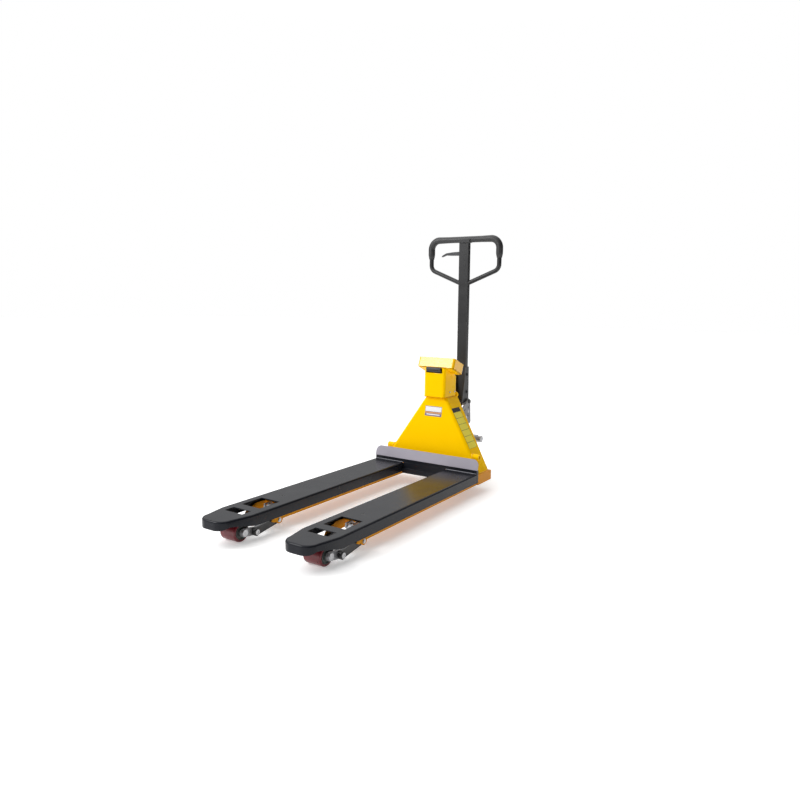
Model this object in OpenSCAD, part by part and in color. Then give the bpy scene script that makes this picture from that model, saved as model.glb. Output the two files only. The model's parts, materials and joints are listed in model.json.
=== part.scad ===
// Scale pallet truck: weighing forks on a hydraulic hand pallet truck.
// X is across the forks, Y runs from the fork tips to the handle, Z is up.
// Modules work from the heel of the forks, and place() moves them to the row's origin.

/* [Forks] */
// Length of the forks from heel to tip
fork_len = 1150; // [1100:10:1220]
// Width over both forks
forks_w = 560; // [540:5:580]
// Width of one fork
fork_w = 164; // [160:1:170]
// Height of the fork tops when lowered
fork_top = 107; // [105:1:110]
// Sheet thickness of the fork shells
shell_t = 4; // [3:0.5:5]
// Height of a fork's side wall
shell_side = 44; // [40:1:46]

/* [Tower] */
// Height of the tower's top
tower_top = 430; // [425:1:440]
// Sheet thickness of the tower
tower_t = 5; // [4:0.5:6]
// Width of the neck post
neck_w = 115.5; // [110:0.5:120]
// Height of the neck post's upper end
neck_top = 566; // [560:1:570]

/* [Lifting gear] */
// Lifting height
lift = 115; // [100:1:120]
// Distance of the steering axis behind the heel
ram_y = 212; // [210:1:216]
// Radius of a steering wheel
wheel_r = 90; // [88:1:92]
// Width of a steering wheel
wheel_w = 50; // [46:1:52]
// Radius of a load roller
roller_r = 37; // [36:0.5:38]
// Width of a load roller
roller_w = 76; // [70:1:78]

/* [Handle] */
// Half width of the handle loop at the tube's centre line
loop_half = 190.5; // [180:0.5:195]
// Height of the loop's upper bar
loop_top = 1201; // [1180:1:1220]
// Lean of the upright handle towards the forks, in degrees
handle_lean = 1.3; // [0:0.1:2]

/* [Hidden] */
$fn = 48;
E = 0.01;
yellow = [0.95, 0.68, 0.05];
amber = [0.80, 0.48, 0.04];
dark = [0.20, 0.21, 0.23];
black = [0.08, 0.08, 0.09];
steel = [0.68, 0.68, 0.70];
light = [0.63, 0.62, 0.68];
red = [0.42, 0.08, 0.09];
board = [0.10, 0.34, 0.18];

rear_reach = 406;
heel_y = (fork_len - rear_reach) / 2;

fork_x = (forks_w - fork_w) / 2;
shell_low = fork_top - shell_side;
shell_in = fork_top - shell_t;
sides = [-1, 1];

// rails under the forks
rail_w = 146;
rail_low = 49;
rail_top = 84;
rail_t = 4;
rail_end = 800;
cell_h = shell_in - rail_top;
screw_y = [-70, -775];

// load roller gear
arm_y = -870;
arm_z = 47;
link_y = -985;
link_z = 31;
axle_y = -1032;
axle_z = roller_r;
lug_y = -850;
lug_z = 78;
rod_z = 66;
pin_r = 9;

// tower, as a slanted frustum
base_top = 96;
base_low = 51;
base_front = 20;
base_rear = 160;
t_front = [51, 97];
t_half = [266, 56];
t_rear = [154, 215];

// rocker
rocker_y = 81;
rocker_z = 166;
rocker_r = 131;
rocker_rest = 26;
push_r = 32.9;
shaft_r = 9;
tube_r = 14;
seat_pin_y = rocker_y + rocker_r * cos(rocker_rest);
seat_pin_z = rocker_z + rocker_r * sin(rocker_rest);
push_y = rocker_y + push_r * sin(rocker_rest);
push_z = rocker_z - push_r * cos(rocker_rest);

// pump
ram_r = 18;
ram_low = 150;
ram_top = 400;
body_r = 50;
pivot_y = 342;
pivot_z = 300;
press_r = 45;
press_rest = 38;
press_y = pivot_y + press_r * cos(press_rest);
press_z = pivot_z + press_r * sin(press_rest);
press_roller_r = 14;
piston_y = pivot_y + 39.5;
cap_top = press_z - press_roller_r - 0.4;
valve_top = 204;
valve_z = 190;

// indicator head
head_w = 198;
head_d = 105;
head_h = 48;
head_tilt = 21.5;
head_y = 99.6;
head_z = 622;
key_x = [-57, -19, 19, 57];
latch_y = 80;
latch_z = 567;

// handle
shaft_y = pivot_y + 32;
grip_r = 17;
grip_low = 1107;
loop_r = 11;
lever_x = 8;
lever_z = 1131;
shaft_half = 25.5;
bend = 46;
low_bend = 36;
low_turn = 68;
low_z = 1077;
foot_z = 978;

// ---------- helpers ----------
module place() {
    translate([0, heel_y, 0]) children();
}

// cylinder along X, centred on x
module xcyl(x, y, z, r, len) {
    translate([x - len / 2, y, z]) rotate([0, 90, 0]) cylinder(r = r, h = len);
}

// box from its lowest corner
module box(x0, y0, z0, x1, y1, z1) {
    translate([x0, y0, z0]) cube([x1 - x0, y1 - y0, z1 - z0]);
}

// plate with an outline in Y and Z, centred on x
module side_plate(x, len, points) {
    translate([x - len / 2, 0, 0]) rotate([90, 0, 90]) linear_extrude(len) polygon(points);
}

// flat bar in Y and Z between two bosses, centred on x
module arm_plate(x, len, a, b, ra, rb) {
    xcyl(x, a[0], a[1], ra, len);
    xcyl(x, b[0], b[1], rb, len);
    d = b - a;
    n = [-d[1], d[0]] / norm(d);
    side_plate(x, len, [a + n * ra, b + n * rb, b - n * rb, a - n * ra]);
}

// everything that leans with the upright handle
module on_handle() {
    place() translate([0, pivot_y, pivot_z]) rotate([handle_lean, 0, 0]) translate([0, -pivot_y, -pivot_z])
        children();
}

// the indicator head's own frame: x across, y back along the lid, z out of the lid
module on_head() {
    place() translate([0, head_y, head_z]) rotate([-head_tilt, 0, 0]) children();
}

module rounded(w, d, r) {
    x = w / 2 - r;
    y = d / 2 - r;
    square([w, 2 * y], center = true);
    square([2 * x, d], center = true);
    for (sx = sides, sy = sides) translate([sx * x, sy * y]) circle(r);
}

// ---------- tower ----------
module frustum(inset, front_r) {
    hull() for (i = [0, 1]) {
        z = i == 0 ? base_top : tower_top;
        h = t_half[i] - inset;
        translate([0, 0, z - i * E]) linear_extrude(E) {
            for (s = sides) {
                translate([s * (h - front_r), t_front[i] + inset + front_r]) circle(front_r, $fn = 32);
                translate([s * (h - 1) - 1, t_rear[i] - 2]) square(2);
            }
        }
    }
}

module tower_shell() color(yellow) place() {
    difference() {
        union() {
            frustum(0, 16);
            for (s = sides) xcyl(s * 230.5, rocker_y, rocker_z, 15, 47);
            // rounded ears behind the neck
            for (s = sides) translate([s * 48, 213.6, 435]) rotate([90, 0, 0]) cylinder(r = 15, h = 8.6);
        }
        difference() {
            frustum(tower_t, 11);
            box(-60, 80, tower_top - tower_t, 60, 230, tower_top + 1);
        }
        // open back and open foot
        hull() for (i = [0, 1]) {
            z = i == 0 ? base_top - 1 : tower_top - tower_t;
            h = t_half[i] - tower_t - i * 3;
            translate([-h, t_rear[i] - 8, z - i]) cube([2 * h, 20, 1]);
        }
        box(-255, 63, base_top - 1, 255, 149, base_top + 1);
        xcyl(0, rocker_y, rocker_z, shaft_r, 520);
        // slots for the push rods' yokes at full lift
        for (s = sides) box(s * fork_x - 19, 40, base_top - 1, s * fork_x + 19, 76, 156);
        // room for the ram and the wiring
        translate([0, 150, tower_top - 8]) cylinder(r = 7, h = 20);
        for (s = sides) translate([s * 36, 190, tower_top - 8]) cylinder(r = 4.2, h = 20);
    }
}

module tower_base() color(amber) place() {
    half = forks_w / 2;
    difference() {
        box(-half, base_front, base_low, half, base_rear, base_top);
        box(-half + 5, base_front + 5, base_low - 1, half - 5, base_rear - 5, base_top - 5);
        // swept by the steering wheels
        translate([0, ram_y, base_low - 1]) cylinder(r = 140, h = 60, $fn = 96);
        // push rods and their yokes
        for (s = sides) {
            box(s * fork_x - 20, 40, base_top - 9, s * fork_x + 20, 126, base_top + 1);
            box(s * fork_x - 20, 0, base_low - 1, s * fork_x + 20, base_front + 8, 80);
        }
    }
    // inner webs that carry the rails
    for (s = sides) box(s * 127 - 3, base_front + 4, base_low, s * 127 + 3, 60, base_top - 5);
}

module ram_seat() color(yellow) place() {
    // thick rounded block that the ram lifts
    difference() {
        union() {
            translate([0, 188, ram_top]) linear_extrude(tower_top - tower_t - ram_top) rounded(92, 44, 10);
            translate([0, ram_y + 4, ram_top]) cylinder(r = 32, h = tower_top - tower_t - ram_top);
        }
        for (s = sides) translate([s * 36, 190, ram_top - 1]) cylinder(r = 4.2, h = 60);
    }
}

module rail(s) {
    x = s * fork_x;
    h = rail_w / 2;
    difference() {
        box(x - h, -rail_end, rail_low, x + h, base_front, rail_top);
        box(x - h + rail_t, -rail_end - 1, rail_low - 1, x + h - rail_t, base_front + 1, rail_top - rail_t);
        for (y = screw_y) {
            translate([x, y, rail_top - 10]) cylinder(r = 12, h = 20);
            translate([x, y + (y < -400 ? 85 : -85), rail_top - 10]) cylinder(r = 4.05, h = 20);
        }
    }
    // side plates carry on to the roller arms' pivot
    for (t = sides) difference() {
        union() {
            side_plate(x + t * (h - rail_t / 2), rail_t, [
                [-rail_end + E, rail_low], [-rail_end + E, rail_top], [-850, rail_top],
                [-905, 62], [-912, 50], [-900, 44], [-886, 44], [-880, 36], [-858, 36], [-852, rail_low]
            ]);
            xcyl(x + t * (h - 3), arm_y, arm_z, 14, 6);
        }
        xcyl(x + t * (h - 3), arm_y, arm_z, pin_r, 20);
    }
}

module rail_left() color(amber) place() rail(-1);
module rail_right() color(amber) place() rail(1);

module rocker_shaft() color(steel) place() xcyl(0, rocker_y, rocker_z, shaft_r, 490);

module arm_pivot_pins() color(steel) place() for (s = sides, t = sides) {
    x = s * fork_x + t * 65;
    xcyl(x, arm_y, arm_z, pin_r, 16);
    xcyl(x + t * 9.5, arm_y, arm_z, 6.5, 3);
}

module ram() color(steel) place() {
    translate([0, ram_y, ram_low]) cylinder(r = ram_r, h = ram_top - ram_low);
}

// ---------- weighing forks ----------
// plan outline of a fork, inset by t
module fork_plan(t) {
    h = fork_w / 2 - t;
    tip = -fork_len + t;
    r = 44 - t / 2;
    kink = -1018;
    polygon([[-h, 0], [-h, kink], [-h + 18, tip + r], [h - 18, tip + r], [h, kink], [h, 0]]);
    translate([0, tip + r]) {
        translate([-h + 18 + r, 0]) circle(r);
        translate([h - 18 - r, 0]) circle(r);
        translate([-h + 18 + r, -r]) square([2 * (h - 18 - r), r + 1]);
    }
}

module fork(s) {
    x = s * fork_x;
    half = fork_w / 2 + 1;
    difference() {
        translate([x, 0, shell_low]) linear_extrude(shell_side) fork_plan(0);
        translate([x, E, shell_low - 1]) linear_extrude(shell_side - shell_t + 1) fork_plan(shell_t);
        // lower edge rises over the roller
        side_plate(x, 2 * half, [
            [-fork_len - 1, 50], [-fork_len - 1, 72], [-1135, 75], [-1115, 82], [-1092, 80],
            [-1049, 71], [-1015, 65], [-1000, shell_low], [-1000, 50]
        ]);
        // windows over the roller gear
        box(x - 45, -1036, shell_in - 1, x + 45, -990, fork_top + 1);
        box(x - 47, -948, shell_in - 1, x + 47, -842, fork_top + 1);
        // sunk screws
        for (y = screw_y) translate([x, y, 0]) {
            translate([0, 0, shell_in - 1]) cylinder(r = 4.2, h = 10);
            translate([0, 0, fork_top - 2.4]) cylinder(r = 8.1, h = 3);
        }
    }
}

module fork_left() color(dark) place() fork(-1);
module fork_right() color(dark) place() fork(1);

module heel_crossbeam() color(dark) place() {
    half = forks_w / 2;
    gap = forks_w / 2 - fork_w;
    box(-half, E, fork_top, half, 4 - E, 123);
    // cheeks at the outer ends
    for (s = sides) box(s * (half - 2) - 2, E, shell_low, s * (half - 2) + 2, base_front - E, 121);
    box(-gap, -2, 80, gap, 4 - E, fork_top);
    box(-gap, -12, 77, gap, 4 - E, 80);
    box(-gap, -12, 56, gap, -8, 77);
}

module backrest_plate() color(light) place() {
    lean = 16;
    tall = 50;
    half = 283;
    r = 28;
    difference() {
        translate([0, 0, 123]) rotate([90 - lean, 0, 0]) translate([0, 0, -4]) linear_extrude(4) {
            translate([-half, -3]) square([2 * half, tall - r + 3]);
            translate([-half + r, -3]) square([2 * (half - r), tall + 3]);
            for (s = sides) translate([s * (half - r), tall - r]) circle(r);
        }
        box(-half - 1, -20, 110, half + 1, 20, 123);
    }
}

module load_cells() color(steel) place() for (s = sides, y = screw_y) {
    x = s * fork_x;
    d = y < -400 ? 1 : -1;
    near = y - d * 16;
    far = y + d * 101;
    lo = min(near, far);
    hi = max(near, far);
    mid = (near + far) / 2;
    difference() {
        union() {
            box(x - 16, lo, rail_top + 2, x + 16, hi, shell_in - 2);
            box(x - 16, min(near, near + d * 32), shell_in - 2, x + 16, max(near, near + d * 32), shell_in);
            box(x - 16, min(far, far - d * 32), rail_top, x + 16, max(far, far - d * 32), rail_top + 2);
        }
        translate([x, y, rail_top]) cylinder(r = 4.1, h = 30);
        translate([x, y + d * 85, rail_top - 1]) cylinder(r = 4.1, h = 30);
        for (o = [-7, 7]) xcyl(x, mid + o, (rail_top + shell_in) / 2, 5, 40);
    }
}

module load_cell_screws() color(steel) place() for (s = sides, y = screw_y) {
    x = s * fork_x;
    d = y < -400 ? 1 : -1;
    // countersunk screw from above
    translate([x, y, rail_top + 3]) cylinder(r = 4, h = fork_top - rail_top - 4);
    translate([x, y, fork_top - 2.4]) difference() {
        cylinder(r = 8, h = 2);
        translate([0, 0, 0.8]) cylinder(r = 3.2, h = 2, $fn = 6);
    }
    // bolt from below
    translate([x, y + d * 85, rail_top - rail_t - 5]) cylinder(r = 7, h = 5, $fn = 6);
    translate([x, y + d * 85, rail_top - rail_t - 1]) cylinder(r = 4, h = cell_h);
}

// ---------- neck and indicator ----------
module neck_post() color(yellow) place() {
    depth = 126;
    mid = 141;
    difference() {
        translate([0, mid, tower_top]) linear_extrude(neck_top + 46 - tower_top) rounded(neck_w, depth, 14);
        translate([0, mid, tower_top + 4]) linear_extrude(220) rounded(neck_w - 6, depth - 6, 11);
        translate([0, mid, tower_top - 1]) cylinder(r = 7, h = 10);
        // top cut along the head's underside
        translate([0, head_y, head_z]) rotate([-head_tilt, 0, 0])
            translate([-150, -150, -head_h - 4]) cube([300, 400, 150]);
        // recess at the front
        box(-46, 70, 548, 43, 90, 600);
        for (s = sides, y = [133, 181]) xcyl(s * neck_w / 2, y, 454, 2.1, 12);
    }
}

module neck_screws() color(steel) place() for (s = sides, y = [133, 181]) {
    xcyl(s * (neck_w / 2 - 2), y, 454, 2.1, 8);
    xcyl(s * (neck_w / 2 + 1.2), y, 454, 4, 2.4);
}

module battery_pack() color(black) place() {
    translate([0, 141, 452]) linear_extrude(82) rounded(84, 84, 4);
    for (s = sides) box(s * 38 - 4, 110, tower_top + 4, s * 38 + 4, 168, 453);
}

module battery_latch() color(light) place() {
    xcyl(-5, latch_y, latch_z, 7.6, 78);
    box(-44, latch_y - 1.5, 553, 34, latch_y + 1.5, 562);
}

module indicator_case() color(yellow) on_head() {
    r = 12;
    difference() {
        translate([0, head_d / 2, -head_h]) linear_extrude(head_h) rounded(head_w, head_d, r);
        translate([0, head_d / 2, -head_h - 1]) linear_extrude(head_h - 2)
            rounded(head_w - 8, head_d - 8, r - 4);
        // display opening and key openings
        translate([-66, 16, -4]) cube([132, 38, 6]);
        for (x = key_x) translate([x, 82, -5]) cylinder(r = 9.3, h = 8);
    }
}

module indicator_base() color(amber) on_head() {
    difference() {
        translate([0, head_d / 2, -head_h - 4]) linear_extrude(4) rounded(head_w - 14, head_d - 14, 8);
        translate([0, 54, -head_h - 5]) cylinder(r = 10, h = 8);
    }
}

module display_window() color([0.15, 0.17, 0.2]) on_head() translate([-66, 16, -3]) cube([132, 38, 2.6]);

module lcd_panel() color([0.45, 0.5, 0.42]) on_head() difference() {
    translate([-60, 20, -11]) cube([120, 30, 7.4]);
    translate([-54, 24, -4.6]) cube([108, 22, 2]);
}

module circuit_board() color(board) on_head() {
    translate([-80, 10, -15]) cube([160, 88, 1.6]);
    for (x = key_x) translate([x, 82, -13.4]) cylinder(r = 3, h = 3.6);
    for (x = [-76, 76], y = [14, 94]) translate([x, y, -head_h]) cylinder(r = 3, h = head_h - 15);
    for (x = [-60, -20, 30]) translate([x, 30, -20]) cube([24, 16, 5]);
}

module keypad_panel() color(dark) on_head() difference() {
    translate([0, 55, 0]) linear_extrude(0.8) rounded(160, 92, 5);
    translate([-66, 16, -1]) cube([132, 38, 3]);
    for (x = key_x) translate([x, 82, -1]) cylinder(r = 9.3, h = 3);
}

module key(i) color(light) on_head() translate([key_x[i], 82, -6.6]) {
    cylinder(r = 9, h = 9);
    cylinder(r = 12, h = 1.6);
}

module key_1() key(0);
module key_2() key(1);
module key_3() key(2);
module key_4() key(3);

// ---------- lifting linkage ----------
module bearing_seat() color(steel) place() {
    difference() {
        union() {
            translate([0, ram_y, 186]) cylinder(r = 58, h = 20);
            for (s = sides) {
                box(s * 61 - 5, 190, 186, s * 61 + 5, 222, seat_pin_z);
                box(s * 55 - 11, 196, 186, s * 55 + 11, 228, 204);
                xcyl(s * 61, 205, seat_pin_z, 17, 10);
            }
        }
        translate([0, ram_y, 180]) cylinder(r = 33.06, h = 60);
        // slots that let the rocker's pins wander
        for (s = sides) {
            box(s * 61 - 6, 197.4, seat_pin_z - 9.2, s * 61 + 6, 213, seat_pin_z + 9.2);
            xcyl(s * 61, 197.4, seat_pin_z, 9.2, 12);
            xcyl(s * 61, 213, seat_pin_z, 9.2, 12);
        }
        // clear of the pump's wider body
        translate([0, ram_y, 206]) cylinder(r = 53, h = 60);
    }
}

module thrust_bearing() color(steel) place() translate([0, ram_y, 206]) difference() {
    union() {
        cylinder(r = 46, h = 3.6);
        translate([0, 0, 3.6]) cylinder(r = 43, h = 4);
        translate([0, 0, 7.6]) cylinder(r = 46, h = 3.4);
    }
    translate([0, 0, -1]) cylinder(r = 33.3, h = 14);
}

module rocker() color(steel) place() difference() {
    union() {
        xcyl(0, rocker_y, rocker_z, tube_r, 412);
        for (s = sides) {
            arm_plate(s * 75, 10, [rocker_y, rocker_z], [seat_pin_y, seat_pin_z], tube_r, 13);
            xcyl(s * 66, seat_pin_y, seat_pin_z, 8, 22);
            arm_plate(s * fork_x, 12, [rocker_y, rocker_z], [push_y, push_z], shaft_r, 11);
            xcyl(s * fork_x, push_y, push_z, 6, 34);
        }
    }
    xcyl(0, rocker_y, rocker_z, shaft_r + 0.06, 470);
}

module push_rods() color(steel) place() for (s = sides) {
    x = s * fork_x;
    y1 = push_y;
    z1 = push_z;
    // yoke plates at the rocker
    for (t = sides) difference() {
        side_plate(x + t * 12, 8, [
            [y1 - 18, rod_z - 8], [y1 + 18, rod_z - 8], [y1 + 18, z1 + 14], [y1 - 18, z1 + 14]
        ]);
        box(x + t * 12 - 5, y1 - 7, z1 - 10.5, x + t * 12 + 5, y1 + 7, z1 + 12);
    }
    box(x - 15, y1 - 30, rod_z - 8, x + 15, y1 + 18, rod_z + 8);
    // rod
    translate([x, y1 - 12, rod_z]) rotate([90, 0, 0]) cylinder(r = 8, h = y1 - 12 + 822);
    // clevis at the roller arm
    box(x - 17, -826, rod_z - 8, x + 17, -800, rod_z + 8);
    for (t = sides) difference() {
        side_plate(x + t * 13.5, 7, [
            [-822, rod_z - 8], [-808, rod_z - 8], [-808, rod_z + 8], [-826, 94],
            [lug_y - 12, 94], [lug_y - 13, 74], [-838, rod_z - 2]
        ]);
        box(x + t * 13.5 - 5, lug_y - 7.5, lug_z - 6.5, x + t * 13.5 + 5, lug_y + 7.5, lug_z + 12.5);
    }
}

// ---------- roller gear ----------
module roller_arms() color(black) place() for (s = sides, t = sides) {
    x = s * fork_x + t * 61;
    difference() {
        union() {
            arm_plate(x, 8, [arm_y, arm_z], [link_y, link_z], 13, 15);
            xcyl(x + t * 3, link_y, link_z, 15, 10);
        }
        xcyl(x, arm_y, arm_z, pin_r + 0.06, 30);
        xcyl(x, link_y, link_z, 10, 40);
    }
}

module roller_carriers() color(steel) place() for (s = sides) {
    x = s * fork_x;
    difference() {
        union() {
            // cheeks beside the roller
            for (t = sides) {
                arm_plate(x + t * 47.5, 11, [link_y, link_z], [axle_y, axle_z], 15, 15);
                arm_plate(x + t * 47.5, 11, [link_y, link_z], [arm_y, arm_z], 12, 12);
            }
            // cross tube, web and lug for the push rod
            xcyl(x, arm_y, arm_z, 13, 106);
            arm_plate(x, 18, [arm_y, arm_z], [lug_y, lug_z], 12, 10);
        }
        xcyl(x, arm_y, arm_z, pin_r, 140);
        for (t = sides) {
            xcyl(x + t * 47.5, axle_y, axle_z, 8, 20);
            xcyl(x + t * 47.5, link_y, link_z, 10, 20);
        }
    }
    xcyl(x, lug_y, lug_z, 6, 44);
}

module roller_axles() color(steel) place() for (s = sides) {
    x = s * fork_x;
    xcyl(x, axle_y, axle_z, 8, 112);
    for (t = sides) {
        xcyl(x + t * 55, axle_y, axle_z, 13, 4);
        difference() {
            xcyl(x + t * 56, link_y, link_z, 10, 32);
            xcyl(x + t * 72.5, link_y, link_z, 5, 3);
        }
    }
}

module load_tread(s) color(red) place() difference() {
    union() {
        xcyl(s * fork_x, axle_y, axle_z, roller_r, roller_w - 8);
        for (t = sides)
            translate([s * fork_x + t * (roller_w / 2 - 4), axle_y, axle_z])
            rotate([0, t * 90, 0])
            cylinder(r1 = roller_r, r2 = roller_r - 4, h = 4);
    }
    xcyl(s * fork_x, axle_y, axle_z, 27, 100);
}

module load_core(s) color(black) place() difference() {
    xcyl(s * fork_x, axle_y, axle_z, 27, roller_w + 2);
    xcyl(s * fork_x, axle_y, axle_z, 8.06, 100);
    for (t = sides) difference() {
        xcyl(s * fork_x + t * (roller_w / 2 + 1), axle_y, axle_z, 23, 6);
        xcyl(s * fork_x + t * (roller_w / 2 + 1), axle_y, axle_z, 15, 6);
    }
}

module load_tread_left() load_tread(-1);
module load_tread_right() load_tread(1);
module load_core_left() load_core(-1);
module load_core_right() load_core(1);

// ---------- pump and steering ----------
module pump_housing() color(light) place() {
    difference() {
        union() {
            // foot between the wheels
            box(-33, 182, 62, 33, 242, 170);
            xcyl(0, ram_y, wheel_r, 28, 72);
            // neck and reservoir
            translate([0, ram_y, 140]) cylinder(r = 33, h = 80);
            translate([0, ram_y, 181]) cylinder(r = 39, h = 4.6);
            translate([0, ram_y, 217.2]) cylinder(r = body_r, h = 105);
            translate([0, ram_y, 322]) cylinder(r = 42, h = 12);
            // bridge to the rear block
            box(-28, 240, 256, 28, 330, 300);
            // rear web with the handle's pivot
            box(-28, 302, 150, 28, 358, pivot_z);
            xcyl(0, pivot_y, pivot_z, 16, 56);
            // valve block under the spring
            box(-28, 302, 150, 28, rear_reach, valve_top);
            translate([0, piston_y, valve_top]) cylinder(r = 14.8, h = 6);
            // cylinder that the piston dives into
            translate([0, piston_y, 100]) cylinder(r = 17, h = 60);
        }
        translate([0, ram_y, 140]) cylinder(r = ram_r + 0.06, h = 220);
        xcyl(0, ram_y, wheel_r, 10, 100);
        xcyl(0, pivot_y, pivot_z, 10, 100);
        translate([0, piston_y, 104]) cylinder(r = 10.06, h = 130);
        xcyl(34, 380, valve_z, 10, 42);
        translate([0, 285, 290]) cylinder(r = 7, h = 20);
    }
}

module filler_plug() color(black) place() translate([0, 285, 290]) {
    cylinder(r = 7, h = 10);
    translate([0, 0, 10]) cylinder(r = 10, h = 7, $fn = 6);
}

module release_valve() color(steel) place() {
    xcyl(34, 380, valve_z, 10, 42);
    xcyl(62, 380, valve_z, 20, 68);
    xcyl(100, 380, valve_z, 13, 8);
    difference() {
        xcyl(112.5, 380, valve_z, 17, 17);
        for (a = [0:60:300]) translate([112.5, 380, valve_z]) rotate([a, 0, 0])
            translate([0, 0, 17]) cube([20, 6, 4], center = true);
    }
}

module wheel_axle() color(steel) place() {
    xcyl(0, ram_y, wheel_r, 10, 198);
    for (s = sides) xcyl(s * 97, ram_y, wheel_r, 15, 6);
}

module pivot_pin() color(steel) place() {
    xcyl(0, pivot_y, pivot_z, 10, 94);
}

module pump_piston() color(steel) place() translate([0, piston_y, 0]) {
    translate([0, 0, 172]) cylinder(r = 10, h = cap_top - 172 - 4);
    translate([0, 0, cap_top - 6]) cylinder(r = 20, h = 6);
    translate([0, 0, cap_top - 12]) cylinder(r = 13.5, h = 8);
}

module piston_spring() color(black) place() translate([0, piston_y, valve_top]) difference() {
    cylinder(r = 19, h = cap_top - 6 - valve_top);
    translate([0, 0, -1]) cylinder(r = 15, h = 200);
}

module steer_tyre(s) color(black) place() translate([s * 67, ram_y, wheel_r]) rotate([0, 90, 0])
    rotate_extrude($fn = 96) polygon([
        [70, -wheel_w / 2], [wheel_r - 6, -wheel_w / 2], [wheel_r, -wheel_w / 2 + 6],
        [wheel_r, wheel_w / 2 - 6], [wheel_r - 6, wheel_w / 2], [70, wheel_w / 2]
    ]);

module steer_hub(s) color(light) place() translate([s * 67, ram_y, wheel_r]) rotate([0, 90, 0])
    rotate_extrude($fn = 96) polygon([
        [10.06, -wheel_w / 2], [24, -wheel_w / 2], [30, -12], [60, -12], [64, -wheel_w / 2 + 2],
        [70, -wheel_w / 2 + 2], [70, wheel_w / 2 - 2], [64, wheel_w / 2 - 2], [60, 12], [30, 12],
        [24, wheel_w / 2], [10.06, wheel_w / 2]
    ]);

module steer_tyre_left() steer_tyre(-1);
module steer_tyre_right() steer_tyre(1);
module steer_hub_left() steer_hub(-1);
module steer_hub_right() steer_hub(1);

// ---------- handle ----------
module drawbar_seat() color(steel) place() {
    difference() {
        union() {
            for (s = sides) {
                arm_plate(s * 38.5, 7, [pivot_y, pivot_z], [378, 380], 18, 15);
                arm_plate(s * 38.5, 7, [378, 380], [394, 274], 15, 10);
                arm_plate(s * 38.5, 7, [pivot_y, pivot_z], [394, 274], 18, 10);
                arm_plate(s * 38.5, 7, [378, 380], [310, 338], 15, 9);
            }
            // bridge that holds the cheeks together
            box(-36, 352, 362, 36, 392, 372);
        }
        xcyl(0, pivot_y, pivot_z, 10.06, 120);
        xcyl(0, press_y, press_z, 7.06, 120);
        for (s = sides) xcyl(s * 38.5, 378, 380, 5, 20);
        for (s = sides) xcyl(s * 38.5, 374, 350, 6, 20);
    }
}

module press_roller() color(steel) place() {
    xcyl(0, press_y, press_z, 7, 84);
    xcyl(0, press_y, press_z, press_roller_r, 24);
}

module handle_bracket() color(black) difference() {
    on_handle() {
        for (s = sides) side_plate(s * (shaft_half + 2.5), 5, [
            [316, 352], [328, 376], [352, 378], [396, 390], [392, 560], [360, 560], [330, 420]
        ]);
        // web behind the shaft
        box(-shaft_half - 1, 389, 400, shaft_half + 1, 394, 556);
        box(-shaft_half - 1, 358, 376, shaft_half + 1, 392, 382);
    }
    place() for (s = sides) xcyl(s * (shaft_half + 2.5), 378, 380, 5, 20);
    on_handle() for (z = [430, 520]) xcyl(0, 376, z, 4, 90);
}

module bracket_bolts() color(steel) {
    place() for (s = sides) {
        // spacer between the bracket and the cast cheek
        xcyl(s * (shaft_half + 7.25), 378, 380, 7.9, 4.5);
        xcyl(s * 35.5, 378, 380, 5, 19);
        xcyl(s * 45, 378, 380, 9, 6);
    }
    on_handle() for (z = [430, 520], s = sides) {
        xcyl(s * (shaft_half + 2), 376, z, 4, 12);
        xcyl(s * (shaft_half + 7.5), 376, z, 7, 5);
    }
}

module handle_shaft() color(dark) on_handle() difference() {
    box(-shaft_half, 364, 384, shaft_half, 389, loop_top - 16);
    box(-shaft_half + 3, 367, 383, shaft_half - 3, 386, loop_top - 12);
    for (z = [430, 520]) xcyl(0, 376, z, 4, 90);
    // opening for the release lever
    box(-shaft_half - 1, 371, lever_z - 18, -shaft_half + 4, 382, lever_z + 21);
    translate([lever_x, 376, lever_z]) rotate([90, 0, 0]) cylinder(r = 4, h = 40, center = true);
}

// one bar of the loop in its own plane, from a to b
module bar(a, b, r) {
    d = b - a;
    translate([a[0], 376, a[1]]) rotate([0, atan2(d[0], d[1]), 0]) cylinder(r = r, h = norm(d));
}

// quarter bend at the top corners
module top_bend(s, r) {
    translate([s * (loop_half - bend), 376, loop_top - bend]) rotate([90, 0, 0])
        rotate([0, 0, s > 0 ? 0 : 90]) rotate_extrude(angle = 90) translate([bend, 0]) circle(r);
}

// bend below the grips, towards the shaft
module low_corner(s) {
    translate([s * (loop_half - low_bend), 376, low_z]) rotate([-s * 90, 0, 0])
        rotate([0, 0, s > 0 ? 0 : 180]) rotate_extrude(angle = low_turn)
            translate([low_bend, 0]) circle(loop_r);
}

module handle_loop() color(dark) on_handle() {
    x = loop_half - low_bend * (1 - cos(low_turn));
    z = low_z - low_bend * sin(low_turn);
    foot_x = x - (z - foot_z) * tan(low_turn);
    difference() {
        union() {
            bar([-loop_half + bend, loop_top], [loop_half - bend, loop_top], loop_r);
            for (s = sides) {
                top_bend(s, loop_r);
                bar([s * loop_half, low_z], [s * loop_half, loop_top - bend], loop_r);
                low_corner(s);
                start = [s * (x + 2 * sin(low_turn)), z + 2 * cos(low_turn)];
                bar(start, [s * foot_x, foot_z], loop_r - 0.15);
            }
            // saddle that joins the loop to the shaft
            translate([0, 395.5, 0]) rotate([90, 0, 0]) linear_extrude(39) polygon([
                [-31, loop_top - 16], [31, loop_top - 16], [37, loop_top], [-37, loop_top]
            ]);
        }
        box(-shaft_half, 360, foot_z - 30, shaft_half, 392, foot_z + 60);
    }
}

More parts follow.
